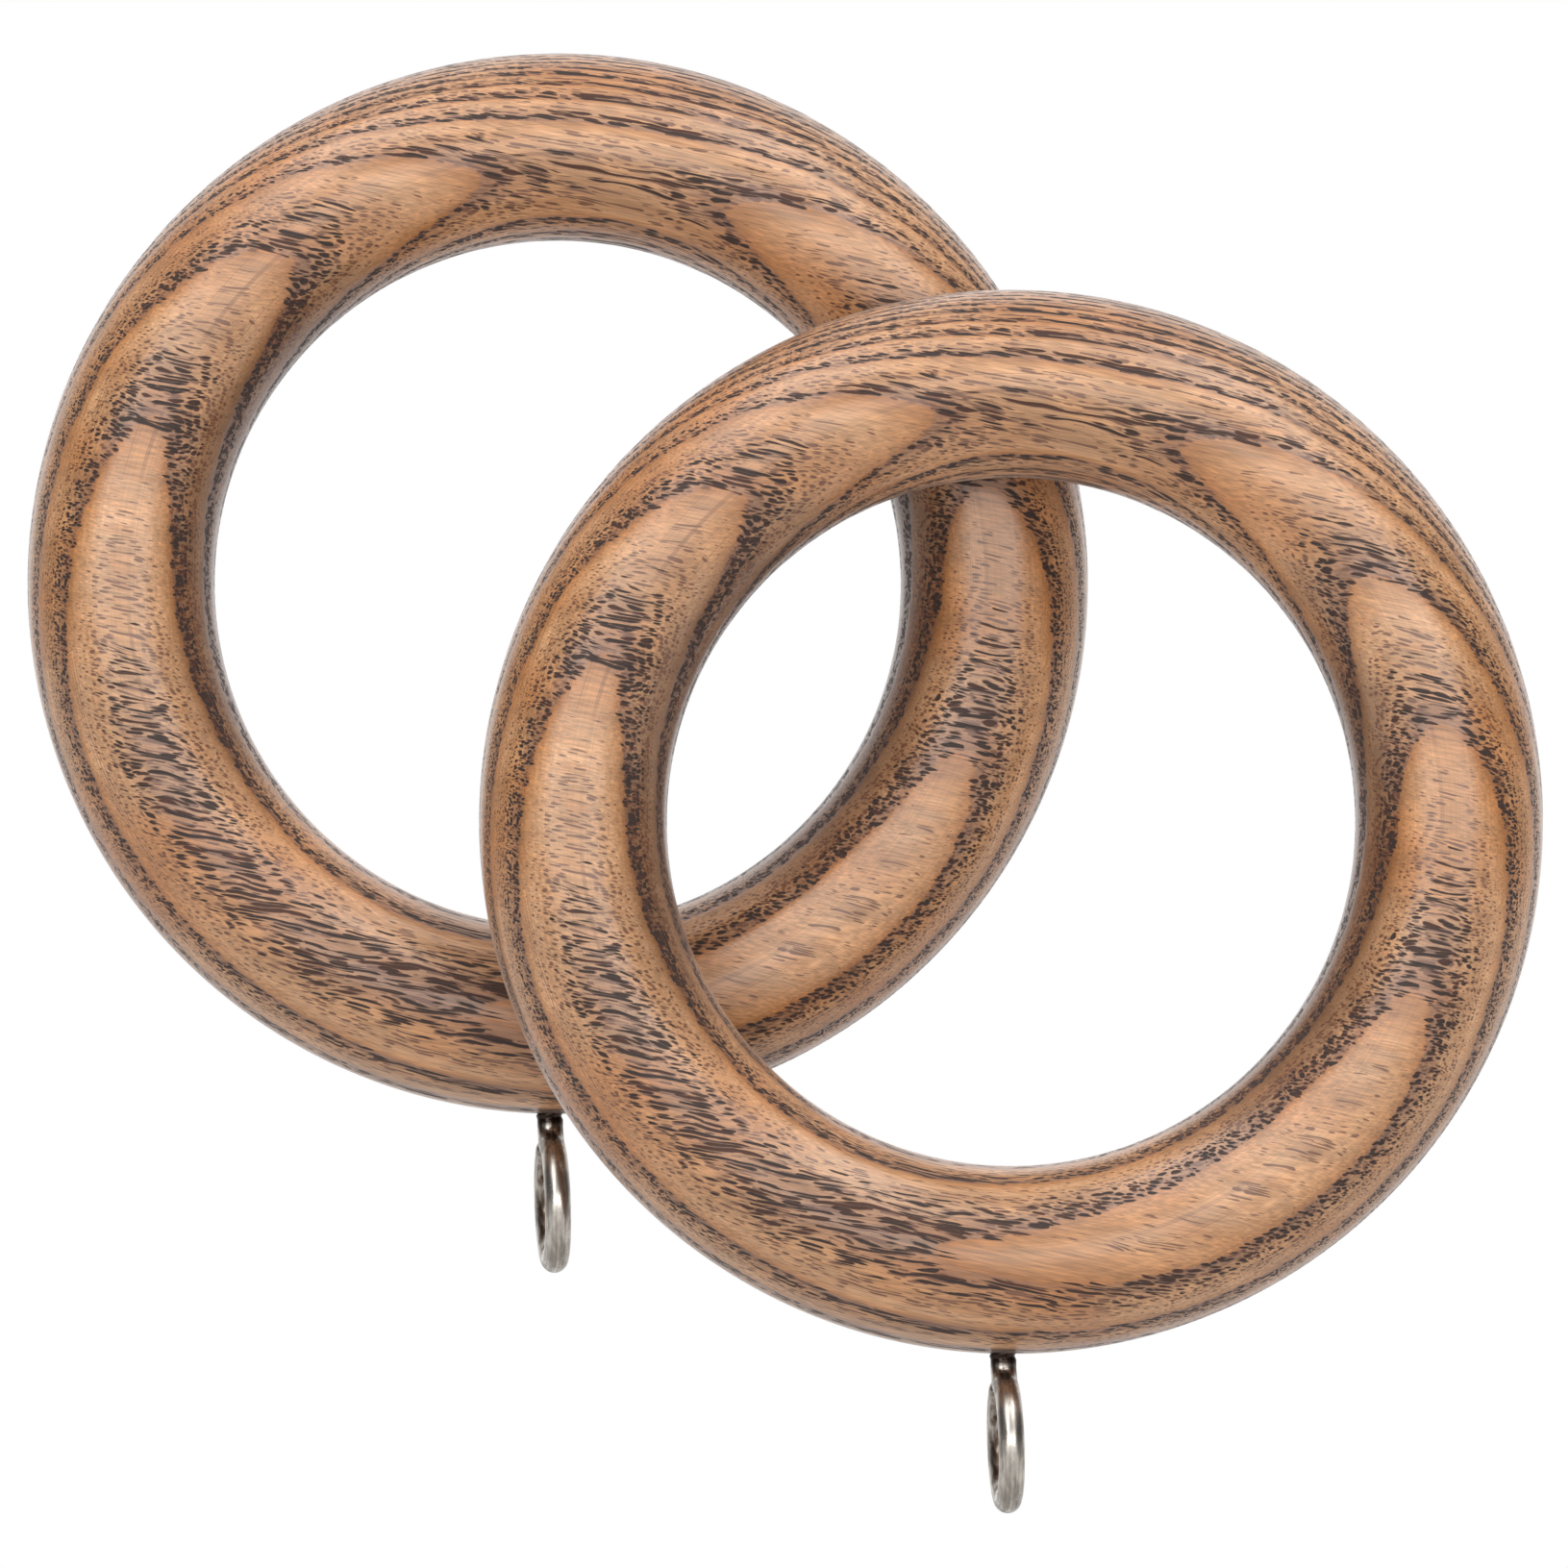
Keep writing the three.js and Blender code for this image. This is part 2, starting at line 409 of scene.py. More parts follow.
def pore_mask(tree, years, place, wood, soak, spacing, dash, thin, wide, rare, common, starts, ends):
    """1 inside pores, and a chance for each pore. They are tubes along the grain that wander, swell and
    pinch into dashes, more and wider in the open season, and wider by the soak factor."""
    width = wood.year_width / MM
    wander = noise_mm(tree, place, WANDER_SIZE)
    part = add(tree, PARTS, {0: place}).node.outputs
    across = add(tree, MATH, [wander, PORE_WANDER, part[2]], operation="MULTIPLY_ADD")
    depth = add(tree, MATH, [years, width], operation="MULTIPLY")
    laid = add(tree, "ShaderNodeCombineXYZ", {0: depth, 1: across})
    tube = add(
        tree,
        "ShaderNodeTexVoronoi",
        {"Vector": laid, "Scale": 1 / spacing, "Randomness": PORE_SCATTER},
        voronoi_dimensions="2D",
    ).node.outputs
    tube_place = add(tree, PARTS, {0: tube["Position"]}).node.outputs
    tube_season = season_at(tree, add(tree, MATH, [tube_place[0], 1 / width], operation="MULTIPLY"))
    chance = add(tree, "ShaderNodeSeparateColor", {0: tube["Color"]}).node.outputs
    share = add(tree, RAMP, [tube_season, starts, ends, rare, common])
    there = add(tree, MATH, [share, chance[0]], operation="GREATER_THAN")
    along_tube = add(tree, "ShaderNodeCombineXYZ", {0: tube_place[0], 1: tube_place[1], 2: part[0]})
    along_noise = noise_mm(tree, along_tube, (TUBE_NOISE, TUBE_NOISE, dash), 0)
    swell = add(tree, RAMP, [along_noise, 0.36, 0.52, 0, 1.1])
    radius = add(tree, RAMP, [tube_season, starts, ends, thin, wide])
    uneven = add(tree, RAMP, [chance[1], 0, 1, 0.8, 1.2])
    radius = add(tree, MATH, [radius, uneven], operation="MULTIPLY")
    radius = add(tree, MATH, [radius, swell], operation="MULTIPLY")
    radius = add(tree, MATH, [radius, soak], operation="MULTIPLY")
    inside = add(tree, MATH, [tube["Distance"], -spacing, radius], operation="MULTIPLY_ADD")
    inside = add(tree, RAMP, [inside, -PORE_SOFTNESS, PORE_SOFTNESS])
    return add(tree, MATH, [inside, there], operation="MULTIPLY"), chance[2]


def waxed_ash(side, wood, eye):
    """Waxed ash, turned and sanded: a ring-porous wood, so dark wax stays in rows of open pores that make
    arches on the face and dots on the end grain, over tan wood with a satin sheen and faint lathe lines."""
    material, tree = new_material("waxed_ash_" + side)
    centre = ring_centre(side)
    here = add(tree, "ShaderNodeTexCoord", output="Object")
    place = add(
        tree,
        "ShaderNodeMapping",
        {"Vector": here, "Location": centre, "Rotation": (0, wood.slope, 0), "Scale": (MM, MM, MM)},
        vector_type="TEXTURE",
    )
    years = growth_years(tree, place, wood)
    base = add(
        tree,
        "ShaderNodeValToRGB",
        {0: season_at(tree, years)},
        stops=(
            (0, wood.late),
            (0.12, wood.dense),
            (0.28, wood.middle),
            (0.5, wood.speckled),
            (0.72, wood.speckled),
            (0.92, wood.early),
            (0.985, wood.early),
            (1, wood.late),
        ),
    )

    soaked = add(tree, RAMP, [noise_mm(tree, place, PATCH_SIZE), 0.46, 0.68, 0, 0.65])
    streaks = add(tree, RAMP, [noise_mm(tree, place, STREAK_SIZE, 3), 0.45, 0.7, 0, 0.35])
    warm = add(tree, MATH, [soaked, streaks], operation="MAXIMUM")
    base = add(tree, MIX, {0: warm, 6: base, 7: (*wood.amber, 1)}, output=2, data_type="RGBA")

    flat = add(tree, VECTOR, {0: place, 1: (1, 0, 1)}, operation="MULTIPLY")
    radius = add(tree, VECTOR, {0: flat}, operation="LENGTH", output="Value")
    depth = add(tree, PARTS, {0: place}, output=1)
    section = add(tree, "ShaderNodeCombineXYZ", {0: radius, 1: depth})
    lathe = noise_mm(tree, section, LATHE_SIZE, 2)
    scratch = noise_mm(tree, section, SCRATCH_SIZE, 1)
    scratch = add(tree, MATH, [scratch, 0.5], operation="SUBTRACT")
    scratch = add(tree, MATH, [scratch], operation="ABSOLUTE")
    scratch = add(tree, RAMP, [scratch, 0.004, 0.009, 1, 0])
    scratched = add(tree, RAMP, [noise_mm(tree, place, SCRATCHED_SIZE), 0.5, 0.62, 0, 0.5])
    scratch = add(tree, MATH, [scratch, scratched], operation="MULTIPLY")

    fibres = add(tree, RAMP, [noise_mm(tree, place, FIBRE_SIZE, 3), 0.25, 0.75, 0.6, 1.3])
    clouds = add(tree, RAMP, [noise_mm(tree, place, CLOUD_SIZE, 3), 0.3, 0.7, 0.8, 1.14])
    turned = add(tree, RAMP, [lathe, 0.3, 0.7, 0.9, 1.09])
    tone = add(tree, MATH, [fibres, clouds], operation="MULTIPLY")
    tone = add(tree, MATH, [tone, turned], operation="MULTIPLY")
    base = add(tree, VECTOR, {0: base, 3: tone}, operation="SCALE")

    along = add(tree, MATH, [add(tree, PARTS, {0: place})], operation="ABSOLUTE")
    end_grain = add(tree, RAMP, [add(tree, MATH, [along, radius], operation="DIVIDE"), 0.55, 0.85])
    line_radius = (RING_DIAMETER - SECTION_DIAMETER) / 2 / MM
    bore_side = add(tree, RAMP, [radius, line_radius - BORE_FROM, line_radius - BORE_TO, 0, 1])
    # Painted shade: the bore side of the left and right limbs, where the end grain shows, is darkened
    # towards the dark brown colour. The same mask also widens the pores there.
    bore_shade_and_soak = add(tree, MATH, [end_grain, bore_side], operation="MULTIPLY")
    painted_bore_shade = add(tree, MATH, [bore_shade_and_soak, 0.6], operation="MULTIPLY")
    base = add(tree, MIX, {0: painted_bore_shade, 6: base, 7: (*wood.stain, 1)}, output=2, data_type="RGBA")
    soak = add(tree, RAMP, [bore_shade_and_soak, 0, 1, 1, 1.5])
    near_bark = add(tree, RAMP, [years, 0.7, -1, 0, BARK_PORES])
    soak = add(tree, MATH, [soak, near_bark], operation="ADD")
    small = pore_mask(tree, years, place, wood, soak, **SMALL_PORES)[0]
    late = pore_mask(tree, years, place, wood, 1, **LATE_PORES)[0]
    small = add(tree, MATH, [small, late], operation="MAXIMUM")
    small = add(tree, MATH, [small, 0.85], operation="MULTIPLY")
    small = add(tree, MATH, [small, scratch], operation="MAXIMUM")
    open_pores, wear = pore_mask(tree, years, place, wood, soak, **OPEN_PORES)
    base = add(tree, MIX, {0: small, 6: base, 7: (*wood.small_pore, 1)}, output=2, data_type="RGBA")
    wear = add(tree, RAMP, [wear, 0.4, 1])
    wax = add(
        tree, MIX, {0: wear, 6: (*wood.pore, 1), 7: (*wood.brown_pore, 1)}, output=2, data_type="RGBA"
    )
    base = add(tree, MIX, {0: open_pores, 6: base, 7: wax}, output=2, data_type="RGBA")
    # Painted shadow of the screw eye on the wood round its hole.
    hole_mouth = centre + Vector((eye.offset, 0, -RING_DIAMETER / 2))
    from_hole = add(tree, VECTOR, [here, hole_mouth], operation="DISTANCE", output="Value")
    painted_eye_shadow = add(tree, RAMP, [from_hole, 1.2 * MM, 2.8 * MM, 0.85, 0])
    base = add(tree, MIX, {0: painted_eye_shadow, 6: base, 7: (*wood.stain, 1)}, output=2, data_type="RGBA")

    height = add(tree, MATH, [small, -SMALL_PORE_DEPTH], operation="MULTIPLY")
    height = add(tree, MATH, [open_pores, -OPEN_PORE_DEPTH, height], operation="MULTIPLY_ADD")
    height = add(tree, MATH, [fibres, FIBRE_HEIGHT, height], operation="MULTIPLY_ADD")
    height = add(tree, MATH, [lathe, LATHE_HEIGHT, height], operation="MULTIPLY_ADD")
    bump = add(tree, "ShaderNodeBump", {"Strength": 1, "Distance": MM, "Height": height})
    shader = add(
        tree,
        "ShaderNodeBsdfPrincipled",
        {
            "Base Color": base,
            "Roughness": add(tree, RAMP, [open_pores, 0, 1, 0.46, 0.7]),
            "IOR": 1.5,
            "Coat Weight": add(tree, RAMP, [open_pores, 0, 1, 1, 0.15]),
            "Coat Roughness": 0.25,
            "Sheen Weight": 0.15,
            "Sheen Roughness": 0.4,
            "Normal": bump,
        },
    )
    add(tree, "ShaderNodeOutputMaterial", {0: shader})
    return material


DRILL_SIDES = 32


def turned_ring_tree(wood):
    """A round section swept round a circle, sunk a little where the early wood is soft, and drilled."""
    tree, given = new_geometry_tree(
        "turned_ring",
        {
            "Diameter": "Float",
            "Section": "Float",
            "Relief": "Float",
            "Hole Diameter": "Float",
            "Hole Depth": "Float",
            "Hole Offset": "Float",
            "Steps": "Int",
            "Sides": "Int",
            "Centre": "Vector",
            "Material": "Material",
        },
    )
    half_ring = add(tree, MATH, [given["Diameter"], 0.5], operation="MULTIPLY")
    half_section = add(tree, MATH, [given["Section"], 0.5], operation="MULTIPLY")
    half_hole = add(tree, MATH, [given["Hole Diameter"], 0.5], operation="MULTIPLY")
    middle = add(tree, MATH, [half_ring, half_section], operation="SUBTRACT")
    circle = add(
        tree, "GeometryNodeCurvePrimitiveCircle", {"Resolution": given["Steps"], "Radius": middle}
    )
    section = add(
        tree, "GeometryNodeCurvePrimitiveCircle", {"Resolution": given["Sides"], "Radius": half_section}
    )
    swept = add(tree, "GeometryNodeCurveToMesh", {"Curve": circle, "Profile Curve": section})
    upright = add(tree, "GeometryNodeTransform", {"Geometry": swept, "Rotation": (pi / 2, 0, 0)})

    here = add(tree, "GeometryNodeInputPosition")
    in_mm = add(tree, VECTOR, {0: here, 3: 1 / MM}, operation="SCALE")
    place = add(
        tree, "ShaderNodeVectorRotate", {"Vector": in_mm, "Angle": -wood.slope}, rotation_type="Y_AXIS"
    )
    softness = add(tree, RAMP, [season_at(tree, growth_years(tree, place, wood)), 0.6, 0.9])
    sunk = add(tree, MATH, [softness, given["Relief"]], operation="MULTIPLY")
    inward = add(tree, MATH, [sunk, -1], operation="MULTIPLY")
    normal = add(tree, "GeometryNodeInputNormal")
    offset = add(tree, VECTOR, {0: normal, 3: inward}, operation="SCALE")
    worn = add(tree, "GeometryNodeSetPosition", {"Geometry": upright, "Offset": offset})

    double_depth = add(tree, MATH, [given["Hole Depth"], 2], operation="MULTIPLY")
    drill = add(
        tree,
        "GeometryNodeMeshCylinder",
        {"Vertices": DRILL_SIDES, "Radius": half_hole, "Depth": double_depth},
    )
    bottom = add(tree, MATH, [half_ring, -1], operation="MULTIPLY")
    mouth = add(tree, "ShaderNodeCombineXYZ", {0: given["Hole Offset"], 2: bottom})
    drill = add(tree, "GeometryNodeTransform", {"Geometry": drill, "Translation": mouth})
    drilled = add(
        tree,
        "GeometryNodeMeshBoolean",
        {"Mesh 1": worn, "Mesh 2": drill},
        operation="DIFFERENCE",
        solver="EXACT",
    )
    placed = add(tree, "GeometryNodeTransform", {"Geometry": drilled, "Translation": given["Centre"]})
    end_tree(tree, placed, given["Material"])
    return tree


# ---------------------------------------------------------------- steel

# Pattern sizes in millimetres: the wire's two cross directions, in half wires, and along it
DRAW_LINE_SIZE = (0.16, 0.16, 4)
BLOTCH_SIZE = (0.7, 0.7, 1.8)
# Millimetres above the eye's centre where the painted reflection of the brown wood and the painted
# near-black shade of the neck set in
WOOD_REFLECTION_FROM = (2.5, 5.5)
NECK_SHADE_FROM = (6.2, 6.8)
LEAST_BROWN = 0.22
# Heights in millimetres
DRAW_LINE_HEIGHT = 0.006
BLOTCH_HEIGHT = 0.03


def antiqued_steel(side, steel, eye):
    """Plated steel wire, drawn, bent and antiqued: brown tarnish on the inside of the eye and in blotches, a
    painted reflection of the brown wood growing up towards the neck, painted near-black shade right under
    the wood, rubbed bright where hooks and fingers touch, with fine draw lines along the wire."""
    material, tree = new_material("antiqued_steel_" + side)
    around = add(tree, "ShaderNodeAttribute", attribute_name="round", output="Vector")
    along = add(tree, "ShaderNodeAttribute", attribute_name="along", output="Fac")
    part = add(tree, PARTS, {0: around}).node.outputs
    along_mm = add(tree, MATH, [along, 1 / MM], operation="MULTIPLY")
    wire = add(tree, "ShaderNodeCombineXYZ", {0: part[0], 1: part[1], 2: along_mm})
    lines = noise_mm(tree, wire, DRAW_LINE_SIZE, 3)
    blotches = noise_mm(tree, wire, BLOTCH_SIZE, 4)

    eye_centre = ring_centre(side) + Vector((eye.offset, 0, eye_centre_z(eye)))
    here = add(tree, "ShaderNodeTexCoord", output="Object")
    place = add(
        tree,
        "ShaderNodeMapping",
        {"Vector": here, "Location": eye_centre, "Rotation": (0, 0, eye.turn), "Scale": (MM, MM, MM)},
        vector_type="TEXTURE",
    )
    height = add(tree, PARTS, {0: place}, output=2)
    in_plane = add(tree, VECTOR, {0: place, 1: (1, 0, 1)}, operation="MULTIPLY")
    radius = add(tree, VECTOR, {0: in_plane}, operation="LENGTH", output="Value")
    line_radius = (eye.eye - eye.wire) / 2 / MM
    inside = add(tree, RAMP, [radius, line_radius - 0.7, line_radius - 0.1, 1, 0])
    # Painted reflection of the brown wood above: the wire grows browner towards the neck. The mask joins
    # this with real tarnish on the inside of the eye and in blotches.
    high = add(tree, RAMP, [height, *WOOD_REFLECTION_FROM, 0, 1])
    worn = add(tree, RAMP, [blotches, 0.35, 0.62])
    brown = add(tree, MATH, [high, LEAST_BROWN], operation="MAXIMUM")
    brown = add(tree, MATH, [inside, brown], operation="MAXIMUM")
    brown = add(tree, MATH, [brown, worn], operation="MULTIPLY")
    # Painted shade and reflection of the wood's underside: the wire turns near-black right under the wood.
    neck = add(tree, RAMP, [height, *NECK_SHADE_FROM, 0, 1])

    plain = (*steel.bright, 1)
    base = add(tree, MIX, {0: brown, 6: plain, 7: (*steel.tarnish, 1)}, output=2, data_type="RGBA")
    base = add(tree, MIX, {0: neck, 6: base, 7: (*steel.neck, 1)}, output=2, data_type="RGBA")
    streaked = add(tree, RAMP, [lines, 0.3, 0.7, 0.65, 1.3])
    mottled = add(tree, RAMP, [blotches, 0.35, 0.65, 1.15, 0.7])
    shade = add(tree, MATH, [streaked, mottled], operation="MULTIPLY")
    base = add(tree, VECTOR, {0: base, 3: shade}, operation="SCALE")
    rough = add(tree, RAMP, [blotches, 0.3, 0.7, 0.22, 0.38])
    relief = add(tree, MATH, [lines, DRAW_LINE_HEIGHT], operation="MULTIPLY")
    relief = add(tree, MATH, [blotches, BLOTCH_HEIGHT, relief], operation="MULTIPLY_ADD")
    bump = add(tree, "ShaderNodeBump", {"Strength": 1, "Distance": MM, "Height": relief})
    shader = add(
        tree,
        "ShaderNodeBsdfPrincipled",
        {"Base Color": base, "Metallic": 1, "Roughness": rough, "Normal": bump},
    )
    add(tree, "ShaderNodeOutputMaterial", {0: shader})
    return material


def eye_centre_z(eye):
    """The height of the eye's centre below the ring's centre."""
    return -RING_DIAMETER / 2 - eye.projection + eye.eye / 2


# The wire's cut end is rounded over this share of half the wire, from this share of its area
END_ROUND = 0.35
END_AREA = 0.5
# Where the thread's flank rises, in turns from the middle of its groove
FLANK = (0.12, 0.4)
# The thread runs out near the neck: how far up its start is, how far up it has its full depth, and the
# half width of the shank where it starts
RUN_OUT = (0.4 * MM, 2.2 * MM, 0.95 * MM)
# The wire steps down to the shank's width over this height
SHOULDER = 0.35 * MM
# The share of the shank's width that is left at the very point
POINT_TIP = 0.03


def screw_eye_tree():
    """Sweeps the wire along its line, and cuts the thread and gimlet point where the line is a straight
    shank."""
    tree, given = new_geometry_tree(
        "screw_eye",
        {
            "Wire": "Float",
            "Thread": "Float",
            "Thread Root": "Float",
            "Pitch": "Float",
            "Thread Length": "Float",
            "Thread Start": "Float",
            "Point": "Float",
            "Sides": "Int",
            "Turn": "Float",
            "Centre": "Vector",
            "Material": "Material",
        },
    )
    line = add(tree, "GeometryNodeMeshToCurve", {"Mesh": given["Geometry"]})
    run = add(tree, "GeometryNodeSplineParameter", output="Length")
    line = add(
        tree, "GeometryNodeStoreNamedAttribute", {"Geometry": line, "Name": "along", "Value": run}
    )
    half_wire = add(tree, MATH, [given["Wire"], 0.5], operation="MULTIPLY")
    from_end = add(tree, "GeometryNodeSplineParameter", output="Length")
    from_end = add(tree, MATH, [from_end, half_wire], operation="DIVIDE")
    area = add(tree, RAMP, [from_end, 0, END_ROUND, END_AREA, 1])
    rounded = add(tree, MATH, [area], operation="SQRT")
    line = add(tree, "GeometryNodeSetCurveRadius", {"Curve": line, "Radius": rounded})
    section = add(
        tree, "GeometryNodeCurvePrimitiveCircle", {"Resolution": given["Sides"], "Radius": half_wire}
    )
    here = add(tree, "GeometryNodeInputPosition")
    outward = add(tree, VECTOR, {0: here}, operation="NORMALIZE")
    section = add(
        tree,
        "GeometryNodeStoreNamedAttribute",
        {"Geometry": section, "Name": "round", "Value": outward},
        data_type="FLOAT_VECTOR",
    )
    swept = add(
        tree,
        "GeometryNodeCurveToMesh",
        {"Curve": line, "Profile Curve": section, "Scale": rounded, "Fill Caps": True},
    )

    part = add(tree, PARTS, {0: here}).node.outputs
    height = add(tree, MATH, [part[2], given["Thread Start"]], operation="SUBTRACT")
    turns = add(tree, MATH, [height, given["Pitch"]], operation="DIVIDE")
    round_shank = add(tree, MATH, [part[1], part[0]], operation="ARCTAN2")
    phase = add(tree, MATH, [round_shank, -1 / (2 * pi), turns], operation="MULTIPLY_ADD")
    from_groove = add(tree, MATH, [phase, 0.5], operation="PINGPONG")
    ridge = add(tree, RAMP, [from_groove, *FLANK])
    half_thread = add(tree, MATH, [given["Thread"], 0.5], operation="MULTIPLY")
    half_root = add(tree, MATH, [given["Thread Root"], 0.5], operation="MULTIPLY")
    root = add(tree, RAMP, [height, *RUN_OUT, half_root])
    cut = add(tree, RAMP, [ridge, 0, 1, root, half_thread])
    left = add(tree, MATH, [given["Thread Length"], height], operation="SUBTRACT")
    pointed = add(tree, RAMP, [left, 0, given["Point"], POINT_TIP, 1])
    cut = add(tree, MATH, [cut, pointed], operation="MULTIPLY")
    flat = add(tree, VECTOR, {0: here, 1: (1, 1, 0)}, operation="MULTIPLY")
    outward = add(tree, VECTOR, {0: flat}, operation="NORMALIZE")
    change = add(tree, MATH, [cut, half_wire], operation="SUBTRACT")
    shoulder = add(tree, RAMP, [height, 0, SHOULDER])
    change = add(tree, MATH, [change, shoulder], operation="MULTIPLY")
    offset = add(tree, VECTOR, {0: outward, 3: change}, operation="SCALE")
    threaded = add(
        tree,
        "GeometryNodeSetPosition",
        {
            "Geometry": swept,
            "Selection": add(tree, MATH, [height, 0], operation="GREATER_THAN"),
            "Offset": offset,
        },
    )
    turn = add(tree, "ShaderNodeCombineXYZ", {2: given["Turn"]})
    placed = add(
        tree,
        "GeometryNodeTransform",
        {"Geometry": threaded, "Translation": given["Centre"], "Rotation": turn},
    )
    end_tree(tree, placed, given["Material"])
    return tree


def wire_line(eye):
    """The wire's centre line below the ring's centre, in the XZ plane: round the eye from its cut end,
    through the neck bend, and up the shank to its point. The eye leans out of the plane a little."""
    wood = -RING_DIAMETER / 2
    radius = (eye.eye - eye.wire) / 2
    eye_z = eye_centre_z(eye)
    rise = sqrt(radius**2 + 2 * radius * eye.neck_bend)
    neck_z = eye_z + rise
    neck_angle = atan2(rise, eye.neck_bend)
    sweep = 2 * pi - (eye.end_angle - neck_angle)
    shank_top = wood - eye.thread_shows + eye.thread_length
    eye_steps, neck_steps, steps_per_turn = 96, 16, 14
    shank_steps = round((shank_top - neck_z) / eye.pitch * steps_per_turn)
    points = []
    for step in range(eye_steps):
        angle = eye.end_angle + sweep * step / eye_steps
        points.append((radius * cos(angle), eye_z + radius * sin(angle)))
    for step in range(neck_steps):
        angle = neck_angle * (1 - step / neck_steps)
        points.append((eye.neck_bend * (1 - cos(angle)), neck_z - eye.neck_bend * sin(angle)))
    for step in range(shank_steps + 1):
        points.append((0, neck_z + (shank_top - neck_z) * step / shank_steps))
    return [(x, eye.lean * max(0, neck_z - z), z) for x, z in points]


# ---------------------------------------------------------------- operators


class CURTAINRINGS_OT_rings(bpy.types.Operator):
    """Turns both wooden rings"""

    bl_idname = "curtain_rings.rings"
    bl_label = "Wooden Rings"

    def execute(self, context):
        settings = context.scene.curtain_rings
        ring = settings.ring
        tree = turned_ring_tree(settings.wood)
        for side in SIDES:
            values = {
                "Diameter": ring.diameter,
                "Section": ring.section,
                "Relief": ring.relief,
                "Hole Diameter": settings.eye.thread,
                "Hole Depth": ring.hole_depth,
                "Hole Offset": settings.eye.offset,
                "Steps": ring.steps,
                "Sides": ring.sides,
                "Centre": ring_centre(side),
                "Material": waxed_ash(side, settings.wood, settings.eye),
            }
            mesh = bpy.data.meshes.new(side + "_blank")
            finished_piece(side + "_turned_ring", tree, mesh, values, side + "_ring")
        return {"FINISHED"}


class CURTAINRINGS_OT_screw_eyes(bpy.types.Operator):
    """Bends and threads both screw eyes"""

    bl_idname = "curtain_rings.screw_eyes"
    bl_label = "Screw Eyes"

    def execute(self, context):
        settings = context.scene.curtain_rings
        eye = settings.eye
        tree = screw_eye_tree()
        for side in SIDES:
            values = {
                "Wire": eye.wire,
                "Thread": eye.thread,
                "Thread Root": eye.root,
                "Pitch": eye.pitch,
                "Thread Length": eye.thread_length,
                "Thread Start": -RING_DIAMETER / 2 - eye.thread_shows,
                "Point": eye.point,
                "Sides": eye.sides,
                "Turn": eye.turn,
                "Centre": ring_centre(side) + Vector((eye.offset, 0, 0)),
                "Material": antiqued_steel(side, settings.steel, eye),
            }
            line = wire_line(eye)
            mesh = bpy.data.meshes.new(side + "_wire")
            mesh.from_pydata(line, [(i, i + 1) for i in range(len(line) - 1)], [])
            finished_piece(
                side + "_bent_eye", tree, mesh, values, side + "_screw_eye"
            )
        return {"FINISHED"}


FLOOR_STEPS = 96
FLOOR_RADIUS = 1.0
FLOOR_GREY = 0.62
KEY_PLACE = Vector((0, -0.95, 0.95))
KEY_WIDTH, KEY_HEIGHT = 0.8, 0.7


def soft_box(name, place, aim, width, height, watts):
    """An area light that the camera doesn't see."""
    data = bpy.data.lights.new(name, "AREA")
    data.shape = "RECTANGLE"
    data.size = width
    data.size_y = height
    data.energy = watts
    light = bpy.data.objects.new(name, data)
    light.visible_camera = False
    light.location = place
    light.rotation_euler = (aim - place).to_track_quat("-Z", "Y").to_euler()
    bpy.context.scene.collection.objects.link(light)


def white_tent(scene, stage):
    """A white tent: bright behind and overhead, with a tall bright panel on each side of the camera and a
    soft light round its lens. The camera sees pure white."""
    world = bpy.data.worlds.new("white_tent")
    world.use_nodes = True
    tree = world.node_tree
    tree.nodes.clear()
    direction = add(tree, "ShaderNodeTexCoord", output="Generated")
    part = add(tree, PARTS, {0: direction}).node.outputs
    level = add(tree, RAMP, [part[1], 0.3, 0.85, 0.08, 1])
    overhead = add(tree, RAMP, [part[2], 0.5, 0.8, 0, 0.6])
    level = add(tree, MATH, [level, overhead], operation="ADD")
    aside = add(tree, MATH, [part[0]], operation="ABSOLUTE")
    near_edge = add(tree, RAMP, [aside, 0.2, 0.3])
    far_edge = add(tree, RAMP, [aside, 0.5, 0.62, 1, 0])
    panel = add(tree, MATH, [near_edge, far_edge], operation="MULTIPLY")
    in_front = add(tree, RAMP, [part[1], -0.15, 0.1, stage.panel_level, 0])
    panel = add(tree, MATH, [panel, in_front], operation="MULTIPLY")
    level = add(tree, MATH, [level, panel], operation="ADD")
    round_lens = add(tree, RAMP, [part[1], -0.94, -0.98, 0, stage.lens_level])
    level = add(tree, MATH, [level, round_lens], operation="ADD")
    room = add(tree, "ShaderNodeBackground", {"Color": (1, 1, 1, 1), "Strength": level})
    seen = add(tree, "ShaderNodeBackground", {"Color": (1, 1, 1, 1)})
    ray = add(tree, "ShaderNodeLightPath", output="Is Camera Ray")
    both = add(tree, "ShaderNodeMixShader", {0: ray, 1: room, 2: seen})
    add(tree, "ShaderNodeOutputWorld", {0: both})
    scene.world = world


def pale_floor(lowest, drop):
    """A matt white sheet under the rings."""
    mesh = bpy.data.meshes.new("floor")
    angles = [2 * pi * step / FLOOR_STEPS for step in range(FLOOR_STEPS)]
    edge = [(FLOOR_RADIUS * cos(angle), FLOOR_RADIUS * sin(angle), lowest - drop) for angle in angles]
    mesh.from_pydata(edge, [], [tuple(range(FLOOR_STEPS))])
    floor = bpy.data.objects.new("floor", mesh)
    material, tree = new_material("matt_white_paper")
    shader = add(
        tree,
        "ShaderNodeBsdfPrincipled",
        {"Base Color": (FLOOR_GREY, FLOOR_GREY, FLOOR_GREY, 1), "Roughness": 0.9},
    )
    add(tree, "ShaderNodeOutputMaterial", {0: shader})
    mesh.materials.append(material)
    bpy.context.scene.collection.objects.link(floor)


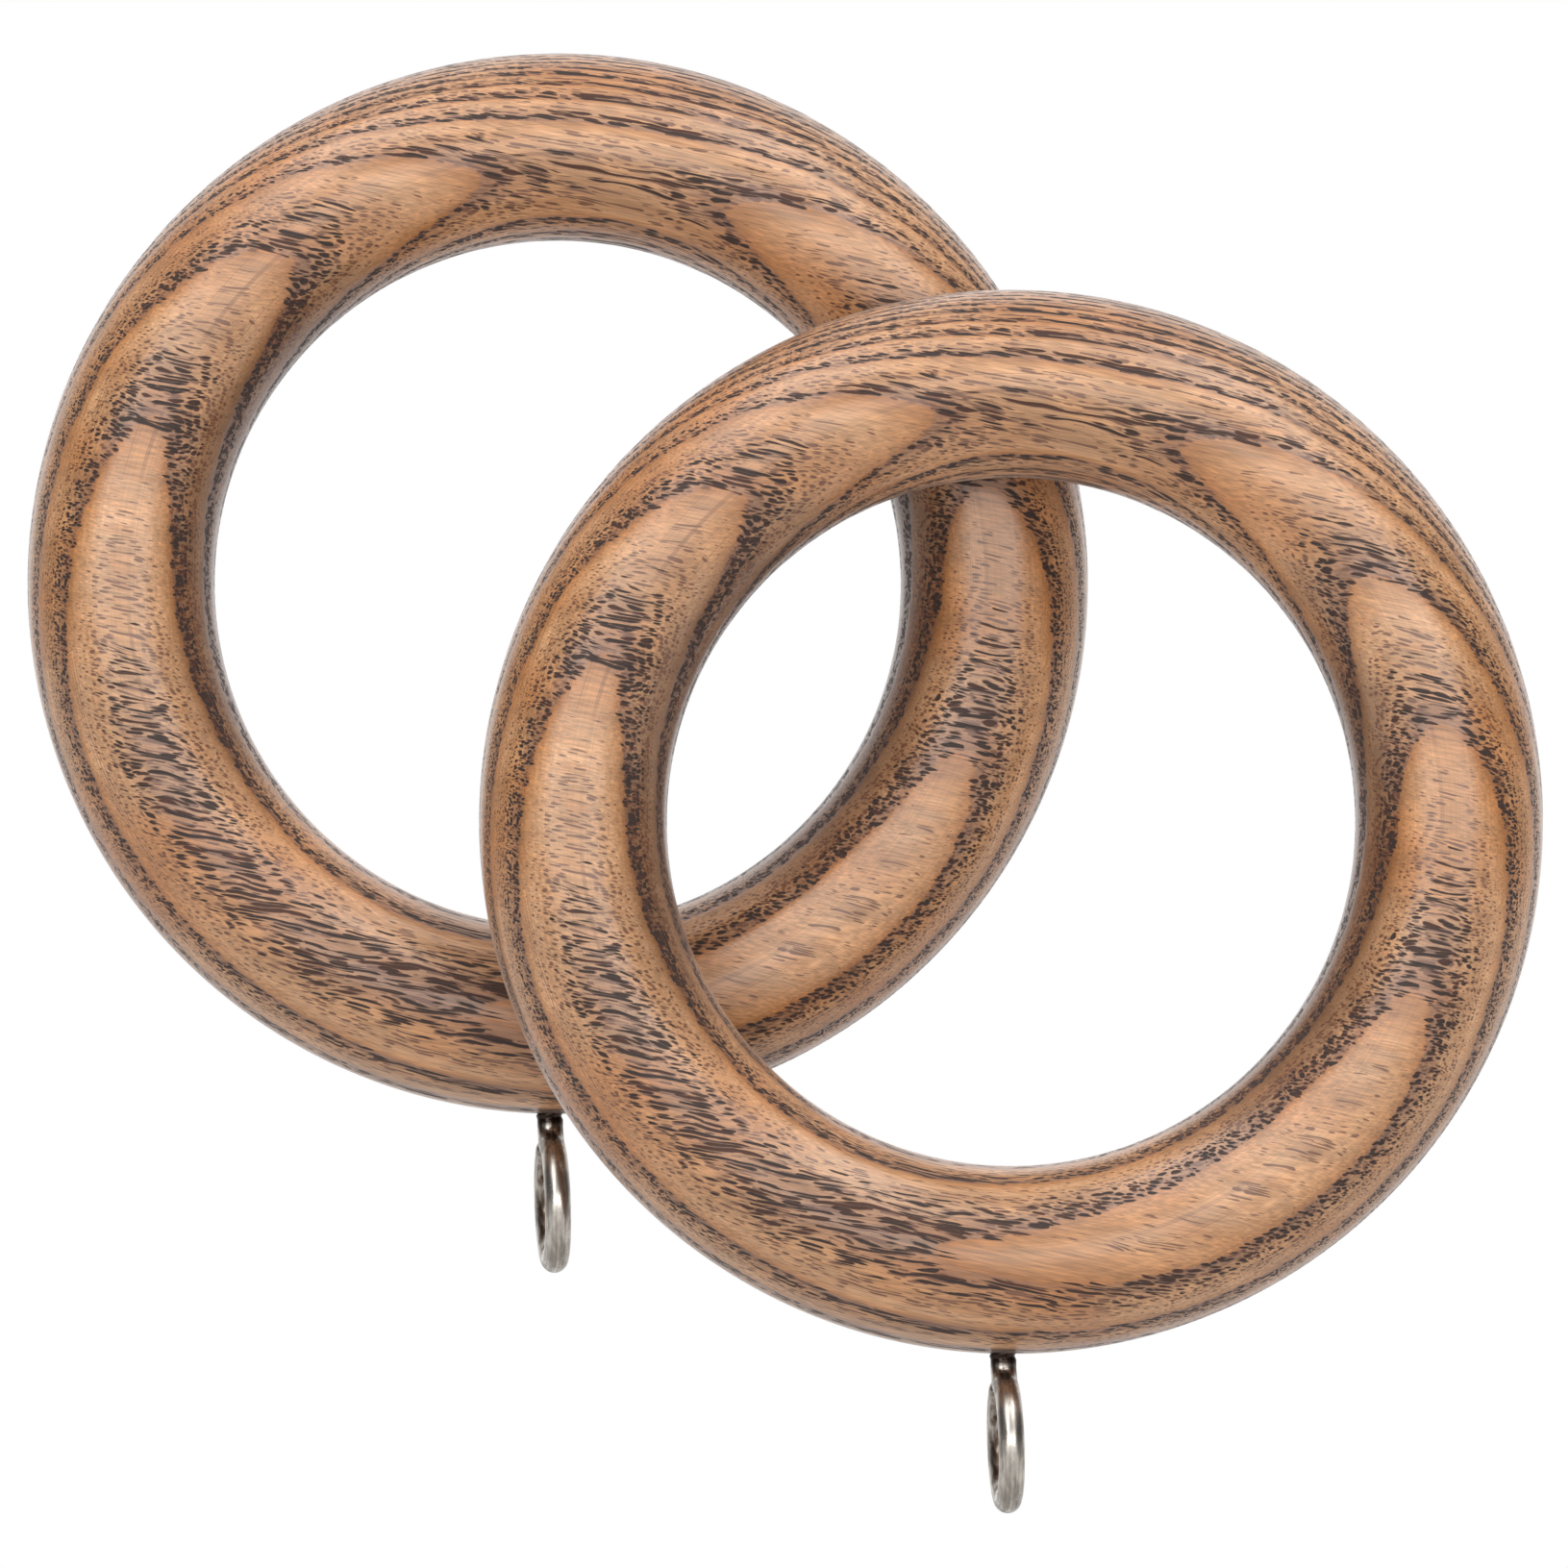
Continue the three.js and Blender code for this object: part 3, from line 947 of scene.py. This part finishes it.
class CURTAINRINGS_OT_stage(bpy.types.Operator):
    """Sets up the floor, the lights and the camera"""

    bl_idname = "curtain_rings.stage"
    bl_label = "Stage"

    def execute(self, context):
        stage = context.scene.curtain_rings.stage
        low, high = Vector(CAD_BOUNDS[0]), Vector(CAD_BOUNDS[1])
        middle = (low + high) / 2
        white_tent(context.scene, stage)
        pale_floor(low.z, stage.floor_drop)
        soft_box("key", middle + KEY_PLACE, middle, KEY_WIDTH, KEY_HEIGHT, stage.key_watts)
        data = bpy.data.cameras.new("camera")
        data.sensor_width = 36
        data.lens = data.sensor_width * stage.camera_distance / stage.picture_width
        camera = bpy.data.objects.new("camera", data)
        camera.location = (middle.x, middle.y - stage.camera_distance, stage.camera_height)
        camera.rotation_euler = (pi / 2, 0, 0)
        context.scene.collection.objects.link(camera)
        context.scene.camera = camera
        context.scene.view_settings.view_transform = "Standard"
        return {"FINISHED"}


class CURTAINRINGS_PT_panel(bpy.types.Panel):
    """Sizes, colours and steps of the curtain rings"""

    bl_idname = "CURTAINRINGS_PT_panel"
    bl_label = "Curtain Rings"
    bl_space_type = "VIEW_3D"
    bl_region_type = "UI"
    bl_category = "Curtain Rings"

    def draw(self, context):
        settings = context.scene.curtain_rings
        for name in ("ring", "eye", "wood", "steel", "stage"):
            group = getattr(settings, name)
            box = self.layout.box()
            box.label(text=name.capitalize())
            for field in group.__annotations__:
                box.prop(group, field)
        for operator in OPERATORS:
            self.layout.operator(operator.bl_idname)


# ---------------------------------------------------------------- registration

OPERATORS = (CURTAINRINGS_OT_rings, CURTAINRINGS_OT_screw_eyes, CURTAINRINGS_OT_stage)
CLASSES = (
    RingSettings,
    EyeSettings,
    WoodSettings,
    SteelSettings,
    StageSettings,
    CurtainRingSettings,
    *OPERATORS,
    CURTAINRINGS_PT_panel,
)


def register():
    for cls in CLASSES:
        bpy.utils.register_class(cls)
    bpy.types.Scene.curtain_rings = PointerProperty(type=CurtainRingSettings)


def unregister():
    del bpy.types.Scene.curtain_rings
    for cls in reversed(CLASSES):
        bpy.utils.unregister_class(cls)


def main():
    register()
    bpy.ops.curtain_rings.rings()
    bpy.ops.curtain_rings.screw_eyes()
    bpy.ops.curtain_rings.stage()


if __name__ == "__main__":
    main()
